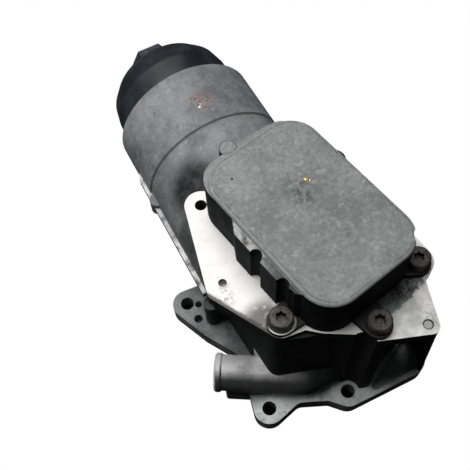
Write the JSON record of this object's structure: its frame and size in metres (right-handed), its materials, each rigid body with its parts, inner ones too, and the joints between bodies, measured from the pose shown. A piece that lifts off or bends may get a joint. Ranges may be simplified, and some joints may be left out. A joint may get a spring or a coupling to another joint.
{
  "type": "oil filter housing",
  "caption": "Cast oil filter housing with a bolted oil cooler cover, a screw-cap cartridge bowl, a coolant spigot and a flange that bolts to an engine block.",
  "frame": {"origin": "on the engine mounting face, under the axis of the filter bowl and level with the middle of the cooler cover", "axes": "+Z away from the engine towards the cooler cover, +Y along the bowl axis towards the screw cap, +X to the side away from the coolant spigot"},
  "size_m": [0.134, 0.2762, 0.1284],
  "materials": {
    "cast_alloy": "grey die-cast alloy with oil stains",
    "cover_alloy": "sand-textured cast alloy, dull",
    "cooler_steel": "brazed stainless plates",
    "seal_rubber": "oil-resistant rubber",
    "bolt_steel": "zinc-plated steel, dulled",
    "spring_steel": "spring wire",
    "cap_plastic": "black glass-filled plastic",
    "inner_plastic": "dark filled plastic",
    "paper": "pleated filter paper"
  },
  "bodies": {
    "housing_body": {"housing": "cast_alloy", "cooler_cover": "cover_alloy", "cooler_cover_seal": "seal_rubber", "engine_face_seal": "seal_rubber", "cooler_core": "cooler_steel", "oil_in_port_seal": "seal_rubber", "oil_out_port_seal": "seal_rubber", "coolant_in_port_seal": "seal_rubber", "coolant_out_port_seal": "seal_rubber", "cover_bolts": "bolt_steel", "cooler_core_screws": "bolt_steel", "gallery_plug": "bolt_steel", "standpipe": "inner_plastic", "bypass_seat": "inner_plastic", "bypass_spring": "spring_steel", "bypass_spring_cup": "inner_plastic", "check_valve_seat": "inner_plastic", "check_valve_spring": "spring_steel", "check_valve_cage": "inner_plastic"},
    "cartridge": {"filter_paper": "paper", "support_tube": "inner_plastic", "lower_end_disc": "inner_plastic", "upper_end_disc": "inner_plastic", "cartridge_seal": "seal_rubber"},
    "cap_carrier": {"cap_seal": "seal_rubber"},
    "cap": {"filter_cap": "cap_plastic"},
    "bypass": {"bypass_disc": "inner_plastic"},
    "check": {"check_valve_disc": "inner_plastic"}
  },
  "joints": [
    {"name": "cartridge_withdraw", "type": "slide", "parent": "housing_body", "child": "cartridge", "axis": [0, 1, 0], "range_m": [0, 0.15]},
    {"name": "cap_lift", "type": "slide", "parent": "cartridge", "child": "cap_carrier", "axis": [0, 1, 0], "range_m": [0, 0.0125]},
    {"name": "cap_turn", "type": "hinge", "parent": "cap_carrier", "child": "cap", "pos_m": [0, 0.14, 0.048], "axis": [0, 1, 0], "range_deg": [0, 1080]},
    {"name": "bypass_open", "type": "slide", "parent": "housing_body", "child": "bypass", "axis": [0, -1, 0], "range_m": [0, 0.004], "stiffness_N_per_m": 2500, "springref_m": -0.005, "deforming": ["bypass_spring"]},
    {"name": "check_open", "type": "slide", "parent": "housing_body", "child": "check", "axis": [0, 0, 1], "range_m": [0, 0.003], "stiffness_N_per_m": 300, "springref_m": -0.004, "deforming": ["check_valve_spring"]}
  ],
  "couplings": [
    {"joint": "cap_lift", "follows": "cap_turn", "m_per_rad": 0.00063662}
  ]
}
